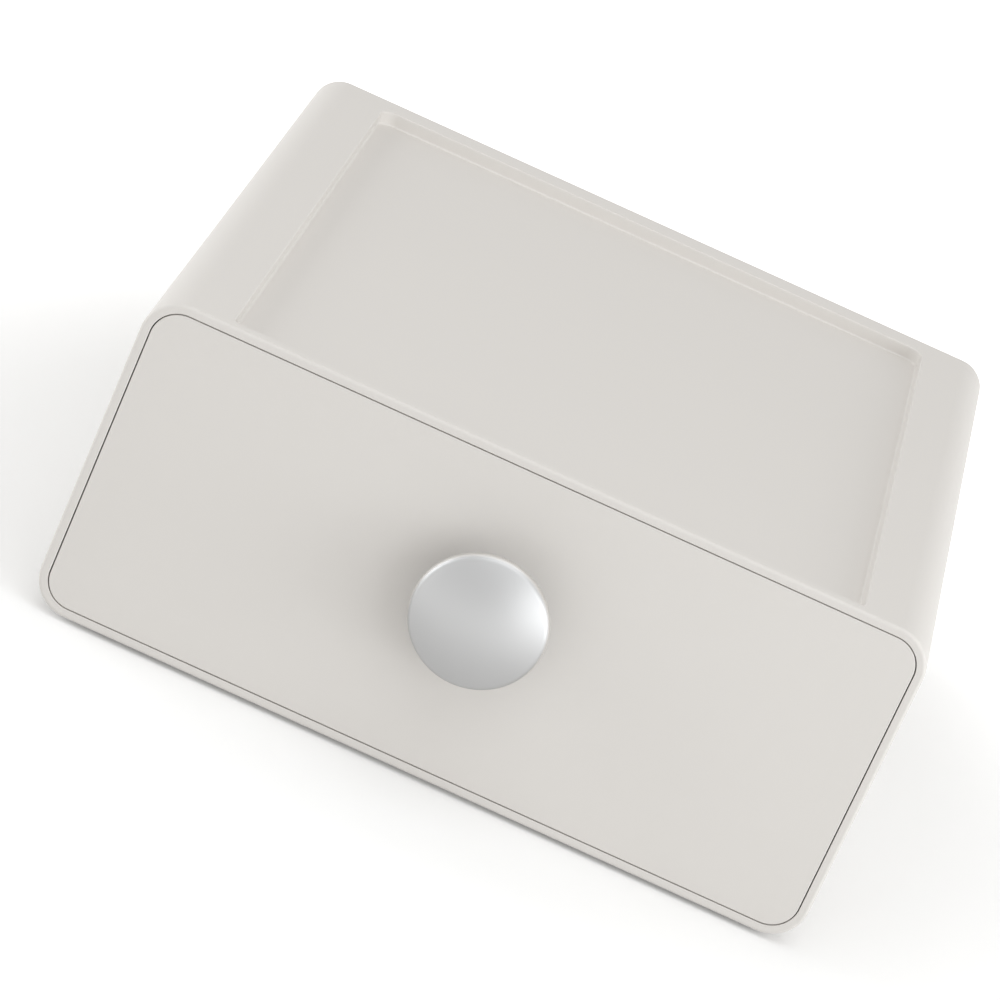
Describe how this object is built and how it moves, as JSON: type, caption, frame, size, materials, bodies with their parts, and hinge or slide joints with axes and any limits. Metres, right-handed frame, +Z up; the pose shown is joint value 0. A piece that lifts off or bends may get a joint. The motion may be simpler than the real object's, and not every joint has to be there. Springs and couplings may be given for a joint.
{
  "type": "desk drawer box",
  "caption": "Desktop drawer box: rounded tube-like case with a shallow tray in its top and a flush-fronted drawer pulled by a round domed knob.",
  "frame": {"origin": "centre of the whole object's box in plan, on the surface it stands on", "axes": "+X to the right seen from the front, +Y from the knob towards the back, +Z up"},
  "size_m": [0.18, 0.215, 0.0774],
  "materials": {
    "case_plastic": "fine matte moulded, warm light grey",
    "tray_plastic": "plain moulded, warm light grey",
    "knob_metal": "fine satin, silver",
    "silicone": "soft matte, translucent grey",
    "screw_steel": "zinc plated"
  },
  "bodies": {
    "case": {"case_sleeve": "case_plastic", "back_panel": "case_plastic", "back_screws": "screw_steel", "foot_front_left": "silicone", "foot_front_right": "silicone", "foot_back_left": "silicone", "foot_back_right": "silicone", "bumper_left": "silicone", "bumper_right": "silicone"},
    "drawer": {"drawer_tray": "tray_plastic", "drawer_front": "case_plastic", "front_screws": "screw_steel", "knob": "knob_metal", "knob_screw": "screw_steel", "knob_washer": "screw_steel"}
  },
  "joints": [
    {"name": "drawer_slide", "type": "slide", "parent": "case", "child": "drawer", "axis": [0, -1, 0], "range_m": [0, 0.16]}
  ]
}
